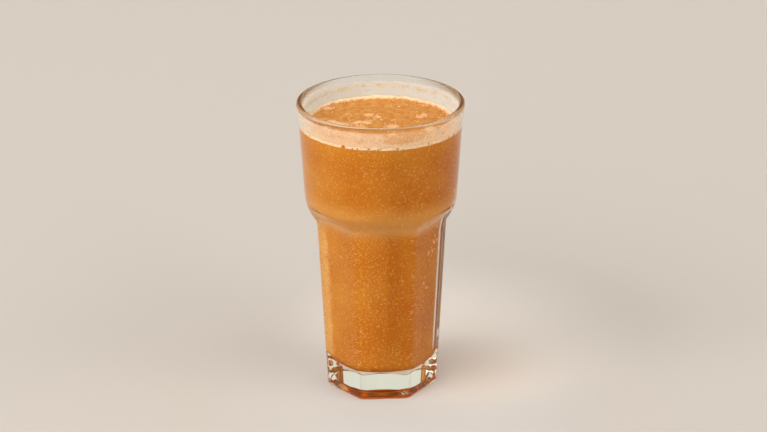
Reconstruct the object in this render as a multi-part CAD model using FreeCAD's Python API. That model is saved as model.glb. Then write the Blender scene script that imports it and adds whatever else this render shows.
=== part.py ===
"""A faceted glass tumbler filled with carrot juice, in millimetres.

The frame has +Z up, with its origin on the axis at the foot. The lower half of the tumbler is a
seven-sided stem of flat facets, one of which faces -Y. Each facet runs out in an arch against a
round bowl. The part is three solids: the glass, the juice in it, and the ring of froth that
clings to the wall where the juice meets it.
"""
import FreeCAD, Part
import math
import os

# The lip and the bowl under it.
HEIGHT = 140.0              # foot to top of lip
LIP_RADIUS = 38.7           # axis to outside of lip
LIP_WALL = 2.9              # thickness across the lip
LIP_ROUND = 1.4             # radius on both edges of the lip
LIP_FLARE = 1.3             # the lip stands out this far from the neck
NECK_DROP = 12.0            # lip down to the neck, where the flare starts
NECK_ROUND = 60.0           # radius at the neck, outside and inside
BOWL_WALL = 2.7             # thickness of the bowl's wall

# The shoulder, where the bowl turns in above the facets.
SHOULDER_HEIGHT = 89.1      # foot to the corner that the shoulder's curve replaces
SHOULDER_STEP = 6.6         # that corner stands out this far from the facets
SHOULDER_ROUND = 19.0       # radius of the shoulder's curve
SHOULDER_ANGLE = 38.0       # slope under the shoulder, in degrees from upright
SHOULDER_LIFT = 5.7         # the inside turns in this much higher than the outside
SHOULDER_SOFT = 12.0        # radius of the curves inside the shoulder

# The stem's facets.
SIDES = 7
FACET_FOOT = 24.15          # axis to the middle of a facet, at the foot
FACET_LEAN = 0.0468         # a facet moves out by this much for each millimetre up
RUNOUT_DROP = 0.7           # the corner that the run-out's curve replaces, below the shoulder's
RUNOUT_ANGLE = 58.0         # slope of the run-out, in degrees from upright
RUNOUT_ROUND = 15.5         # radius of the run-out's curve
ARRIS_TRIM = 0.45           # taken off the sharp edges between facets
ARRIS_ROUND = 2.0           # radius where a trimmed edge meets the slope above it
FACET_WALL = 3.0            # thinnest wall of the stem, at the middle of a facet

# The base.
FLOOR = 12.5                # foot to the floor of the inside
FLOOR_ROUND = 5.0           # radius between floor and wall
FOOT_BEVEL_IN = 0.9         # bevel round the foot, inwards
FOOT_BEVEL_UP = 1.5         # and upwards
FOOT_ROUND = 2.0            # radius where the bevel meets a facet
FOOT_RING = 4.2             # narrowest width of the flat ring that the tumbler stands on
PUNT_DEPTH = 2.2            # depth of the hollow inside that ring
PUNT_SLOPE = 2.5            # its side moves in by this much
PUNT_ROUND = 2.0            # radius between its side and its roof

# The drink.
JUICE_DROP = 10.2           # lip down to the level of the juice
FROTH_SINK = 1.2            # the froth reaches this far below that level
FROTH_CLIMB = 1.2           # and this far above it at the wall
FROTH_EDGE = 0.3            # height of the froth's inner edge above the juice
FROTH_WIDTH = 3.4           # mean width of the ring of froth
FROTH_WAVES = ((3, 0.55, 0.4), (5, 0.35, 2.1), (11, 0.25, 1.3))   # number, height and phase
FROTH_POINTS = 66           # points that shape the froth's inner edge

CLEAR = 1.0                 # a cutting tool reaches this far past what it cuts
LEG_SHARE = 0.98            # the roundings at both ends of a line take up at most this share
HALF_SIDE = math.pi / SIDES
LEVEL = HEIGHT - JUICE_DROP
ORIGIN = FreeCAD.Vector(0, 0, 0)
UP = FreeCAD.Vector(0, 0, 1)


def facet_distance(height):
    """Distance from the axis to the middle of a facet."""
    return FACET_FOOT + FACET_LEAN * height


def arris_radius(height):
    """Radius of the trimmed edge between two facets."""
    return facet_distance(height) / math.cos(HALF_SIDE) - ARRIS_TRIM


def shoulder_radius():
    """Radius of the corner that the shoulder's curve replaces."""
    return facet_distance(SHOULDER_HEIGHT) + SHOULDER_STEP


def under_shoulder(radius, height, stem_radius, stem_lean):
    """Radius and height at which the slope down from a shoulder corner meets the stem.

    The stem's side has stem_radius at that corner's height and leans by stem_lean.
    """
    slope = math.tan(math.radians(SHOULDER_ANGLE)) - stem_lean
    drop = (radius - stem_radius) / slope
    return stem_radius - stem_lean * drop, height - drop


def outer_corners():
    """Outside of the wall, from foot to lip: radius, height and rounding of each corner."""
    corner = (shoulder_radius(), SHOULDER_HEIGHT)
    arris_lean = FACET_LEAN / math.cos(HALF_SIDE)
    return [
        (arris_radius(0) - FOOT_BEVEL_IN, 0, 0),
        (arris_radius(FOOT_BEVEL_UP), FOOT_BEVEL_UP, FOOT_ROUND),
        (*under_shoulder(*corner, arris_radius(SHOULDER_HEIGHT), arris_lean), ARRIS_ROUND),
        (*corner, SHOULDER_ROUND),
        (LIP_RADIUS - LIP_FLARE, HEIGHT - NECK_DROP, NECK_ROUND),
        (LIP_RADIUS, HEIGHT, LIP_ROUND),
    ]


def inner_corners():
    """Inside of the wall, from lip to the middle of the floor, in the same form."""
    height = SHOULDER_HEIGHT + SHOULDER_LIFT
    corner = (shoulder_radius() - BOWL_WALL, height)
    return [
        (LIP_RADIUS - LIP_WALL, HEIGHT, LIP_ROUND),
        (LIP_RADIUS - LIP_FLARE - BOWL_WALL, HEIGHT - NECK_DROP, NECK_ROUND),
        (*corner, SHOULDER_SOFT),
        (*under_shoulder(*corner, facet_distance(height) - FACET_WALL, FACET_LEAN), SHOULDER_SOFT),
        (facet_distance(FLOOR) - FACET_WALL, FLOOR, FLOOR_ROUND),
        (0, FLOOR, 0),
    ]


def half_turn(points, i):
    """Half the angle by which an outline turns at one of its points."""
    return (points[i] - points[i - 1]).getAngle(points[i + 1] - points[i]) / 2


def reaches(points, rounds):
    """How far each rounding reaches along its lines, less where a line is too short for it."""
    inner = range(1, len(points) - 1)
    wanted = [0.0] * len(points)
    for i in inner:
        wanted[i] = rounds[i] * math.tan(half_turn(points, i))
    fitting = list(wanted)
    for i in inner:
        for j in (i - 1, i + 1):
            room = LEG_SHARE * points[i].distanceToPoint(points[j])
            if wanted[i] + wanted[j] > room:
                fitting[i] = min(fitting[i], wanted[i] * room / (wanted[i] + wanted[j]))
    return fitting


def rounded_edges(corners):
    """Lines and tangent arcs through corners in the XZ plane. The first and last stay sharp."""
    points = [FreeCAD.Vector(radius, 0, height) for radius, height, _ in corners]
    fitting = reaches(points, [rounding for _, _, rounding in corners])
    edges = []
    start = points[0]
    for i in range(1, len(points) - 1):
        back = (points[i - 1] - points[i]).normalize() * fitting[i]
        ahead = (points[i + 1] - points[i]).normalize() * fitting[i]
        edges.append(Part.LineSegment(start, points[i] + back).toShape())
        if fitting[i] > 0:
            sag = fitting[i] * math.tan(half_turn(points, i) / 2)
            middle = points[i] + (back + ahead).normalize() * sag
            edges.append(Part.Arc(points[i] + back, middle, points[i] + ahead).toShape())
        start = points[i] + ahead
    edges.append(Part.LineSegment(start, points[-1]).toShape())
    return edges


def flat_face(corners):
    """Face in the XZ plane inside rounded corners, closed by a line from last to first."""
    edges = rounded_edges(corners)
    first = FreeCAD.Vector(corners[0][0], 0, corners[0][1])
    last = FreeCAD.Vector(corners[-1][0], 0, corners[-1][1])
    edges.append(Part.LineSegment(last, first).toShape())
    return Part.Face(Part.Wire(edges))


def turned(corners):
    """Solid turned about the Z axis from rounded corners."""
    return flat_face(corners).revolve(ORIGIN, UP, 360)


def blank():
    """The tumbler with a round stem: wall, lip and base."""
    return turned([(0, 0, 0), *outer_corners(), *inner_corners()])


def inside():
    """The space inside the wall, up to the lip."""
    return turned([(0, HEIGHT, 0), *inner_corners()])


def facet_cutter():
    """What lies outside the facet that faces +X, its bevel at the foot and its run-out."""
    far = LIP_RADIUS + facet_distance(HEIGHT)
    run = math.tan(math.radians(RUNOUT_ANGLE))
    bevel = FOOT_BEVEL_IN / FOOT_BEVEL_UP
    height = SHOULDER_HEIGHT - RUNOUT_DROP
    distance = facet_distance(height)
    face = flat_face([
        (facet_distance(0) - FOOT_BEVEL_IN - bevel * CLEAR, -CLEAR, 0),
        (facet_distance(FOOT_BEVEL_UP), FOOT_BEVEL_UP, FOOT_ROUND),
        (distance, height, RUNOUT_ROUND),
        (far, height + (far - distance) / run, 0),
        (far, -CLEAR, 0),
    ])
    cutter = face.extrude(FreeCAD.Vector(0, 2 * far, 0))
    cutter.translate(FreeCAD.Vector(0, -far, 0))
    return cutter


def facet_cutters():
    """One cutter for each side, the first of them facing -Y."""
    cutters = []
    for side in range(SIDES):
        cutter = facet_cutter()
        cutter.rotate(ORIGIN, UP, side * 360 / SIDES - 90)
        cutters.append(cutter)
    return cutters


def punt():
    """The hollow under the base."""
    radius = facet_distance(0) - FOOT_BEVEL_IN - FOOT_RING
    return turned([
        (0, PUNT_DEPTH, 0),
        (radius - PUNT_SLOPE, PUNT_DEPTH, PUNT_ROUND),
        (radius, 0, 0),
        (radius, -CLEAR, 0),
        (0, -CLEAR, 0),
    ])


def make_glass():
    """The tumbler: facets cut from the blank, and the hollow under it."""
    return blank().cut([*facet_cutters(), punt()])


def disc(radius, low, high):
    """A plain disc on the axis, between two heights."""
    return Part.makeCylinder(radius, high - low, FreeCAD.Vector(0, 0, low))


def wall_radius(height):
    """Radius of the inside of the wall, leaving out its roundings."""
    corners = inner_corners()
    for (upper, top, _), (lower, bottom, _) in zip(corners, corners[1:]):
        if bottom <= height <= top:
            return lower + (upper - lower) * (height - bottom) / (top - bottom)
    return 0


def open_juice(low, high):
    """The juice that the froth leaves open: a disc with the froth's uneven inner edge."""
    points = []
    for i in range(FROTH_POINTS):
        angle = 2 * math.pi * i / FROTH_POINTS
        radius = wall_radius(LEVEL) - FROTH_WIDTH
        for number, wave, phase in FROTH_WAVES:
            radius += wave * math.sin(number * angle + phase)
        points.append(FreeCAD.Vector(radius * math.cos(angle), radius * math.sin(angle), low))
    edge = Part.BSplineCurve()
    edge.interpolate(points, PeriodicFlag=True)
    return Part.Face(Part.Wire(edge.toShape())).extrude(FreeCAD.Vector(0, 0, high - low))


def froth_hollow():
    """What lies above the froth's top, which climbs from its inner edge to the wall."""
    inner = wall_radius(LEVEL) - 2 * FROTH_WIDTH
    return turned([
        (0, LEVEL + FROTH_EDGE, 0),
        (inner, LEVEL + FROTH_EDGE, FROTH_WIDTH),
        (wall_radius(LEVEL) + CLEAR, LEVEL + FROTH_CLIMB, 0),
        (wall_radius(LEVEL) + CLEAR, HEIGHT, 0),
        (0, HEIGHT, 0),
    ])


def make_froth(space):
    """The ring of froth at the wall."""
    ring = space.common(disc(2 * LIP_RADIUS, LEVEL - FROTH_SINK, HEIGHT))
    return ring.cut([froth_hollow(), open_juice(LEVEL - FROTH_SINK, HEIGHT)])


def make_juice(space):
    """The drink, from the floor to its level, with the froth sunk into its edge."""
    below = space.common(disc(2 * LIP_RADIUS, 0, LEVEL - FROTH_SINK))
    return below.fuse(open_juice(LEVEL - FROTH_SINK, LEVEL)).removeSplitter()


def main():
    """Builds each solid and writes it to its own file."""
    space = inside()
    os.makedirs("parts", exist_ok=True)
    for name, shape in (
        ("glass", make_glass()),
        ("juice", make_juice(space)),
        ("froth", make_froth(space)),
    ):
        solid = shape.Solids[0]
        solid.exportStep(f"parts/{name}.step")
        print(name, len(shape.Solids), "solid", round(solid.Volume / 1000, 2), "ml", solid.isValid())


main()
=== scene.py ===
"""A faceted tumbler of carrot juice: the dressed model, its stage, its lamps and its camera.

Everything is in metres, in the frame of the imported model: +Z up, the origin on the axis at the
foot, and one facet of the stem facing -Y.
"""
import logging
import math
from dataclasses import dataclass, field
from enum import Enum

import bpy
import numpy as np
from mathutils import Matrix, Vector, noise


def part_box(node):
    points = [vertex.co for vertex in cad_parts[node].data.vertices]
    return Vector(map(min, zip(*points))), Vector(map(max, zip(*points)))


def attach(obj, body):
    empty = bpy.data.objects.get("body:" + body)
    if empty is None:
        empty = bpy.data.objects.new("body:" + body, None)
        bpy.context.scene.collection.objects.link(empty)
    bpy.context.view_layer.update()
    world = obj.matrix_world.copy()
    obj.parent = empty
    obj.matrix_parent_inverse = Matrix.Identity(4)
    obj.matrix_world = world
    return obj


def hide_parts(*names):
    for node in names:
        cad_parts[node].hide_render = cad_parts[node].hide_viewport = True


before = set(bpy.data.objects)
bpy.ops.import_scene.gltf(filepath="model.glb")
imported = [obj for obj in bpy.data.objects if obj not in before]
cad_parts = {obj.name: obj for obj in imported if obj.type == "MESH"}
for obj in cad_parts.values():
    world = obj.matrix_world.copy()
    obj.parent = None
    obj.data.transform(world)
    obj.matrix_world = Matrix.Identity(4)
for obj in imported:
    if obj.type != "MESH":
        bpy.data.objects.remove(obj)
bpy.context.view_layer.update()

log = logging.getLogger("carrot_juice")

ROOT = "root"
TINY = 1e-9                             # two lengths or angles that differ by less are the same
Place = tuple[float, float, float]
Corner = tuple[float, float, float]     # radius, height and rounding
Colour = tuple[float, float, float]     # red, green and blue as they show, from 0 to 255
Span = tuple[float, float]              # where a step starts and where it ends


class Slot(Enum):
    """The record's material slots."""

    GLASS = "glass"
    JUICE = "juice"
    FROTH = "froth"


def linear(colour: Colour) -> tuple[float, float, float, float]:
    """Turns a display colour into the linear one that shaders take.

    Args:
        colour: red, green and blue as they show on a screen, each from 0 to 255.

    Returns:
        The same colour, linear, with an alpha of 1.
    """
    def channel(value: float) -> float:
        """Undoes the display curve for one channel."""
        share = value / 255
        return share / 12.92 if share <= 0.04045 else ((share + 0.055) / 1.055) ** 2.4

    return (*(channel(value) for value in colour), 1.0)


# ---------------------------------------------------------------- outlines and meshes


def rounded_outline(corners: list[Corner], turn_step: float = math.radians(6)) -> np.ndarray:
    """Samples an outline with rounded corners.

    Args:
        corners: the corners, in order. The first and the last stay sharp.
        turn_step: the most that the outline turns between two samples, in radians.

    Returns:
        Radius and height of each sample, one row each.
    """
    least_reach = 1e-6
    most_share = 0.9        # of the shorter side, that a rounding takes
    points = [np.array(corner[:2]) for corner in corners]
    samples = [points[0]]
    for i in range(1, len(points) - 1):
        back = points[i - 1] - points[i]
        ahead = points[i + 1] - points[i]
        back_length = np.linalg.norm(back)
        ahead_length = np.linalg.norm(ahead)
        back = back / back_length
        ahead = ahead / ahead_length
        turn = math.pi - math.acos(np.clip(back @ ahead, -1, 1))
        longest = most_share * min(back_length, ahead_length)
        reach = min(corners[i][2] * math.tan(turn / 2), longest)
        if reach < least_reach:
            samples.append(points[i])
            continue
        radius = reach / math.tan(turn / 2)
        bisector = (back + ahead) / np.linalg.norm(back + ahead)
        centre = points[i] + bisector * radius / math.cos(turn / 2)
        start = points[i] + back * reach - centre
        side = math.copysign(1, back[0] * ahead[1] - back[1] * ahead[0])
        count = max(2, math.ceil(turn / turn_step))
        for step in range(count + 1):
            angle = -side * turn * step / count
            cos, sin = math.cos(angle), math.sin(angle)
            samples.append(centre + np.array([cos * start[0] - sin * start[1],
                                              sin * start[0] + cos * start[1]]))
    samples.append(points[-1])
    return np.array(samples)


def soft_min(first: np.ndarray, second: np.ndarray, blend: float) -> np.ndarray:
    """The lesser of two values, rounded off where they lie within blend of each other."""
    near = np.maximum(blend - np.abs(first - second), 0) / blend
    return np.minimum(first, second) - near * near * blend / 4


def finer(values: np.ndarray, low: float, high: float, step: float) -> np.ndarray:
    """Adds values between low and high, so that none of them lie further apart than step."""
    count = max(2, math.ceil((high - low) / step) + 1)
    return np.unique(np.round(np.concatenate([values, np.linspace(low, high, count)]), 7))


def smooth_step(values: np.ndarray | float, low: float, high: float) -> np.ndarray | float:
    """Rises smoothly from 0 at low to 1 at high."""
    share = np.clip((values - low) / (high - low), 0, 1)
    return share * share * (3 - 2 * share)


@dataclass(frozen=True)
class Cloud:
    """Fractal noise, the same at a place each time."""

    waves: float                # to a metre
    layers: int = 4             # of finer and finer waves
    seed: float = 0.0           # another value gives another pattern
    falloff: float = 1.0        # how much weaker each finer layer is
    fineness: float = 2.0       # how much finer

    def at(self, places: np.ndarray) -> np.ndarray:
        """Works out the noise at many places.

        Args:
            places: one row for each place, in metres.

        Returns:
            A value for each place, about -1 to 1.
        """
        shift = Vector((self.seed, self.seed * 1.7, -self.seed))
        look = (self.falloff, self.fineness, self.layers)
        spots = (Vector(place) * self.waves + shift for place in places.tolist())
        return np.array([noise.fractal(spot, *look) for spot in spots])


def give(obj: bpy.types.Object, name: str, values: np.ndarray) -> None:
    """Stores a number for each vertex under a name."""
    attribute = obj.data.attributes.new(name, "FLOAT", "POINT")
    attribute.data.foreach_set("value", np.asarray(values, dtype=np.float32))


def bump_shape(place: np.ndarray, centre: float, width: float) -> np.ndarray:
    """A round hump of height 1 at centre, which falls off over width."""
    return np.exp(-((place - centre) / width) ** 2)


def round_angles(columns: int) -> np.ndarray:
    """Angles of columns that stand evenly round the axis, in radians."""
    return np.arange(columns) * 2 * math.pi / columns


def bearings(places: np.ndarray) -> np.ndarray:
    """Bearing of each place from -Y, in degrees from -180 to 180, anticlockwise from above."""
    return (np.degrees(np.arctan2(places[:, 1], places[:, 0])) + 270) % 360 - 180


def new_object(name: str, vertices: np.ndarray, faces: list[tuple[int, ...]]) -> bpy.types.Object:
    """Makes a smooth-shaded mesh object and links it to the scene.

    Args:
        name: name of the object and its mesh.
        vertices: one row for each vertex.
        faces: the vertices of each face, anticlockwise from outside.

    Returns:
        The new object, at the origin.
    """
    mesh = bpy.data.meshes.new(name)
    mesh.from_pydata(vertices.tolist(), [], faces)
    mesh.validate()
    mesh.polygons.foreach_set("use_smooth", [True] * len(mesh.polygons))
    mesh.update()
    obj = bpy.data.objects.new(name, mesh)
    bpy.context.scene.collection.objects.link(obj)
    return obj


def ring_faces(rings: int, columns: int, loop: bool = False) -> list[tuple[int, ...]]:
    """Faces between stacked rings of vertices.

    Args:
        rings: number of rings.
        columns: number of vertices in each ring.
        loop: whether the last ring joins the first, as in a doughnut.

    Returns:
        The faces, anticlockwise from outside for rings that run round +Z.
    """
    faces = []
    for i in range(rings if loop else rings - 1):
        above = (i + 1) % rings
        for j in range(columns):
            k = (j + 1) % columns
            faces.append((i * columns + j, i * columns + k, above * columns + k, above * columns + j))
    return faces


def closed_shell(name: str, rings: list[np.ndarray]) -> bpy.types.Object:
    """Makes a closed body from rings, with a vertex on the axis at each end.

    Args:
        name: name of the object.
        rings: rings of the same number of vertices, from the middle of the underside, out and
            round to the middle of the top.

    Returns:
        The new object.
    """
    columns = len(rings[0])
    low = np.array([[0, 0, rings[0][:, 2].mean()]])
    high = np.array([[0, 0, rings[-1][:, 2].mean()]])
    vertices = np.concatenate([*rings, low, high])
    first = len(rings) * columns
    faces = ring_faces(len(rings), columns)
    last_ring = (len(rings) - 1) * columns
    for j in range(columns):
        k = (j + 1) % columns
        faces.append((first, k, j))
        faces.append((last_ring + j, last_ring + k, first + 1))
    return new_object(name, vertices, faces)


def ring(radius: np.ndarray | float, height: np.ndarray | float, angles: np.ndarray) -> np.ndarray:
    """One ring of vertices round the axis."""
    flat = np.ones_like(angles)
    return np.stack([radius * np.cos(angles), radius * np.sin(angles), height * flat], axis=1)


# ---------------------------------------------------------------- finishes


@dataclass(frozen=True)
class Grain:
    """A noise, and the two of its values between which a finish takes a smooth step."""

    waves: float                # to a metre
    layers: float = 3           # of finer detail
    roughness: float = 0.55     # how strong each finer layer is
    low: float = 0.0
    high: float = 1.0


class Nodes:
    """A node tree, with short calls that add and join its nodes."""

    def __init__(self, tree: bpy.types.NodeTree) -> None:
        """Takes a tree and empties it."""
        self.tree = tree
        tree.nodes.clear()

    def add(self, kind: str, options: dict | None = None, **inputs: object) -> bpy.types.Node:
        """Adds a node.

        Args:
            kind: the node's type.
            options: properties of the node itself.
            inputs: its inputs, by name with _ for each space: a value, or a socket to join.

        Returns:
            The new node.
        """
        node = self.tree.nodes.new(kind)
        for option, value in (options or {}).items():
            setattr(node, option, value)
        for name, value in inputs.items():
            self.feed(node.inputs[name.replace("_", " ")], value)
        return node

    def feed(self, socket: bpy.types.NodeSocket, value: object) -> None:
        """Sets a socket's value, or joins it to another socket.

        Args:
            socket: the input.
            value: its value, or the output to join it to.
        """
        if isinstance(value, bpy.types.NodeSocket):
            self.tree.links.new(value, socket)
        else:
            socket.default_value = value

    def number(self, operation: str, first: object, second: object) -> bpy.types.NodeSocket:
        """Works out one number from two.

        Args:
            operation: what to do with them.
            first: a number, or a socket that gives one.
            second: another.

        Returns:
            The result.
        """
        node = self.add("ShaderNodeMath", {"operation": operation})
        self.feed(node.inputs[0], first)
        self.feed(node.inputs[1], second)
        return node.outputs[0]

    def times(self, first: object, second: object) -> bpy.types.NodeSocket:
        """Multiplies two numbers."""
        return self.number("MULTIPLY", first, second)

    def plus(self, first: object, second: object) -> bpy.types.NodeSocket:
        """Adds two numbers."""
        return self.number("ADD", first, second)

    def measure(self, operation: str, place: bpy.types.NodeSocket, other: Place
                ) -> bpy.types.NodeSocket:
        """Works out a number from two places or directions.

        Args:
            operation: what to measure.
            place: the one that varies.
            other: the one that is fixed.

        Returns:
            The measure.
        """
        node = self.add("ShaderNodeVectorMath", {"operation": operation})
        self.feed(node.inputs[0], place)
        self.feed(node.inputs[1], other)
        return node.outputs["Value"]

    def blend(self, share: object, first: bpy.types.NodeSocket, second: bpy.types.NodeSocket
              ) -> bpy.types.NodeSocket:
        """Mixes two shaders.

        Args:
            share: how much of the second there is.
            first: a shader.
            second: another.

        Returns:
            The mixture.
        """
        node = self.add("ShaderNodeMixShader", Fac=share)
        self.feed(node.inputs[1], first)
        self.feed(node.inputs[2], second)
        return node.outputs["Shader"]


class Shader(Nodes):
    """A material's node tree, with the patterns and mixtures that the finishes use."""

    def __init__(self, name: str) -> None:
        """Makes an empty material.

        Args:
            name: name of the material.
        """
        self.material = bpy.data.materials.new(name)
        self.material.use_nodes = True
        super().__init__(self.material.node_tree)

    def place(self) -> bpy.types.NodeSocket:
        """The place on the piece, in metres."""
        return self.add("ShaderNodeTexCoord").outputs["Object"]

    def along(self, axis: str) -> bpy.types.NodeSocket:
        """The place on the piece along X, Y or Z, in metres."""
        return self.add("ShaderNodeSeparateXYZ", Vector=self.place()).outputs[axis]

    def stored(self, name: str) -> bpy.types.NodeSocket:
        """The number that each vertex stores under a name."""
        return self.add("ShaderNodeAttribute", {"attribute_name": name}).outputs["Fac"]

    def noise(self, grain: Grain) -> bpy.types.NodeSocket:
        """The plain noise of a grain, from 0 to 1."""
        return self.add("ShaderNodeTexNoise", Vector=self.place(), Scale=grain.waves,
                        Detail=grain.layers, Roughness=grain.roughness).outputs["Fac"]

    def pattern(self, grain: Grain) -> bpy.types.NodeSocket:
        """The noise of a grain, as a smooth step from its low value to its high one."""
        return self.ramp(self.noise(grain), grain.low, grain.high)

    def ramp(self, source: bpy.types.NodeSocket, low: float, high: float) -> bpy.types.NodeSocket:
        """Takes a smooth step.

        Args:
            source: what it steps on.
            low: where it is 0.
            high: where it is 1, which may be the lesser of the two.

        Returns:
            The step, from 0 to 1.
        """
        options = {"interpolation_type": "SMOOTHSTEP"}
        node = self.add("ShaderNodeMapRange", options, Value=source, From_Min=low, From_Max=high)
        return node.outputs["Result"]

    def mix(self, share: object, first: object, second: object) -> bpy.types.NodeSocket:
        """Mixes two colours.

        Args:
            share: how much of the second there is.
            first: a display colour, or a socket that gives a colour.
            second: another.

        Returns:
            The mixture.
        """
        node = self.add("ShaderNodeMix", {"data_type": "RGBA"})
        self.feed(node.inputs["Factor"], share)
        for socket, colour in ((node.inputs[6], first), (node.inputs[7], second)):
            self.feed(socket, linear(colour) if isinstance(colour, tuple) else colour)
        return node.outputs[2]

    def bump(self, height: bpy.types.NodeSocket, depth: float, strength: float = 1
             ) -> bpy.types.NodeSocket:
        """Bends the light as a rough surface would, and leaves the shape.

        Args:
            height: how high the roughness stands, from 0 to 1.
            depth: how high 1 is, in metres.
            strength: how much of it shows.

        Returns:
            The direction that the surface faces.
        """
        node = self.add("ShaderNodeBump", Height=height, Distance=depth, Strength=strength)
        return node.outputs["Normal"]

    def lit(self, kind: str, **inputs: object) -> bpy.types.NodeSocket:
        """Adds a shader of one kind, such as Diffuse, and returns its output."""
        return self.add("ShaderNodeBsdf" + kind, **inputs).outputs["BSDF"]

    def finish(self, surface: bpy.types.NodeSocket) -> bpy.types.Material:
        """Joins a shader to the material's output, and returns the material."""
        self.add("ShaderNodeOutputMaterial", Surface=surface)
        return self.material


@dataclass(frozen=True)
class ClearGlass:
    """Clear pressed glass that lamps shine through, with the drink's orange painted into its lip and
    foot as painted refraction.
    """

    tint: Colour = (255, 255, 252)
    # painted refraction: the lip's sides take the drink's orange, standing in for the juice seen
    # through the glass
    painted_lip_refraction: Colour = (200, 152, 104)
    painted_lip_depths: Span = (0.0026, 0.0014)     # below the top
    painted_lip_sides: Span = (0.016, 0.037)        # from the middle plane, to either side
    # painted refraction: the foot takes the drink's orange, standing in for the juice seen through the
    # base
    painted_foot_refraction: Colour = (255, 236, 212)
    foot_heights: Span = (0.0032, 0.0020)
    mirror: Colour = (132, 132, 132)
    ior: float = 1.5
    waves: Grain = Grain(45.0, 1)
    wave_depth: float = 0.00002

    def material(self) -> bpy.types.Material:
        """Builds the material.

        Returns:
            The material.
        """
        shader = Shader("clear_glass")
        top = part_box("glass")[1].z
        # painted refraction of the drink, at the lip's sides and at the foot
        lip = shader.ramp(shader.along("Z"), *(top - depth for depth in self.painted_lip_depths))
        side = shader.along("X")
        side = shader.ramp(shader.times(side, side), *(reach ** 2 for reach in self.painted_lip_sides))
        colour = shader.mix(shader.times(lip, side), self.tint, self.painted_lip_refraction)
        foot = shader.ramp(shader.along("Z"), *self.foot_heights)
        colour = shader.mix(foot, colour, self.painted_foot_refraction)
        normal = shader.bump(shader.noise(self.waves), self.wave_depth)
        glass = shader.lit("Principled", Base_Color=colour, Roughness=0.0, IOR=self.ior,
                           Normal=normal, Transmission_Weight=1.0,
                           Specular_Tint=linear(self.mirror))
        clear = shader.lit("Transparent", Color=linear(self.tint))
        path = shader.add("ShaderNodeLightPath")
        return shader.finish(shader.blend(path.outputs["Is Shadow Ray"], glass, clear))


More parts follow.
